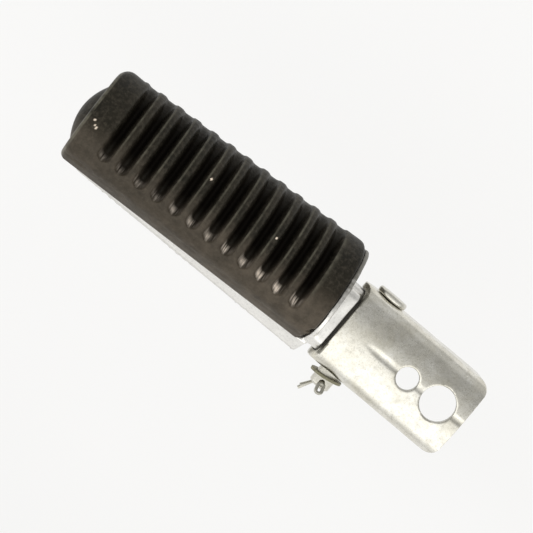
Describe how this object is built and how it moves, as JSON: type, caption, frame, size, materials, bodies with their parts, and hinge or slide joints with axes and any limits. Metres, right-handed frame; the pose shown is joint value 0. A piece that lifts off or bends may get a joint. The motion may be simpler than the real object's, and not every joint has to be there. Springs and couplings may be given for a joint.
{
  "type": "folding foot peg",
  "caption": "Folding motorcycle foot peg: ribbed rubber tread on a cast arm that swings about a clevis pin in a pressed channel bracket.",
  "frame": {"origin": "centre of the frame bolt's hole, on the outer face of the bracket's web", "axes": "+X along the folded peg to its free end, +Y along the clevis pin to its split-pin end, +Z out of the web's outer face"},
  "size_m": [0.1727, 0.0558, 0.041],
  "materials": {
    "bracket_steel": "worn zinc plate",
    "cast_alloy": "satin, worn",
    "tread_rubber": "matt, worn",
    "pin_steel": "worn zinc plate",
    "washer_steel": "dull",
    "wire_steel": "dull"
  },
  "bodies": {
    "bracket": {"channel_bracket": "bracket_steel"},
    "arm": {"peg_arm": "cast_alloy", "tread_rubber": "tread_rubber"},
    "pin": {"clevis_pin": "pin_steel", "split_pin": "wire_steel"},
    "washer": {"flat_washer": "washer_steel"}
  },
  "joints": [
    {"name": "arm_fold", "type": "hinge", "parent": "bracket", "child": "arm", "pos_m": [0.0352, 0, -0.01], "axis": [0, 1, 0], "range_deg": [0, 90]},
    {"name": "pin_turn", "type": "hinge", "parent": "bracket", "child": "pin", "pos_m": [0.0352, 0, -0.01], "axis": [0, 1, 0], "continuous": true},
    {"name": "washer_turn", "type": "hinge", "parent": "pin", "child": "washer", "pos_m": [0.0352, 0, -0.01], "axis": [0, 1, 0], "continuous": true}
  ]
}
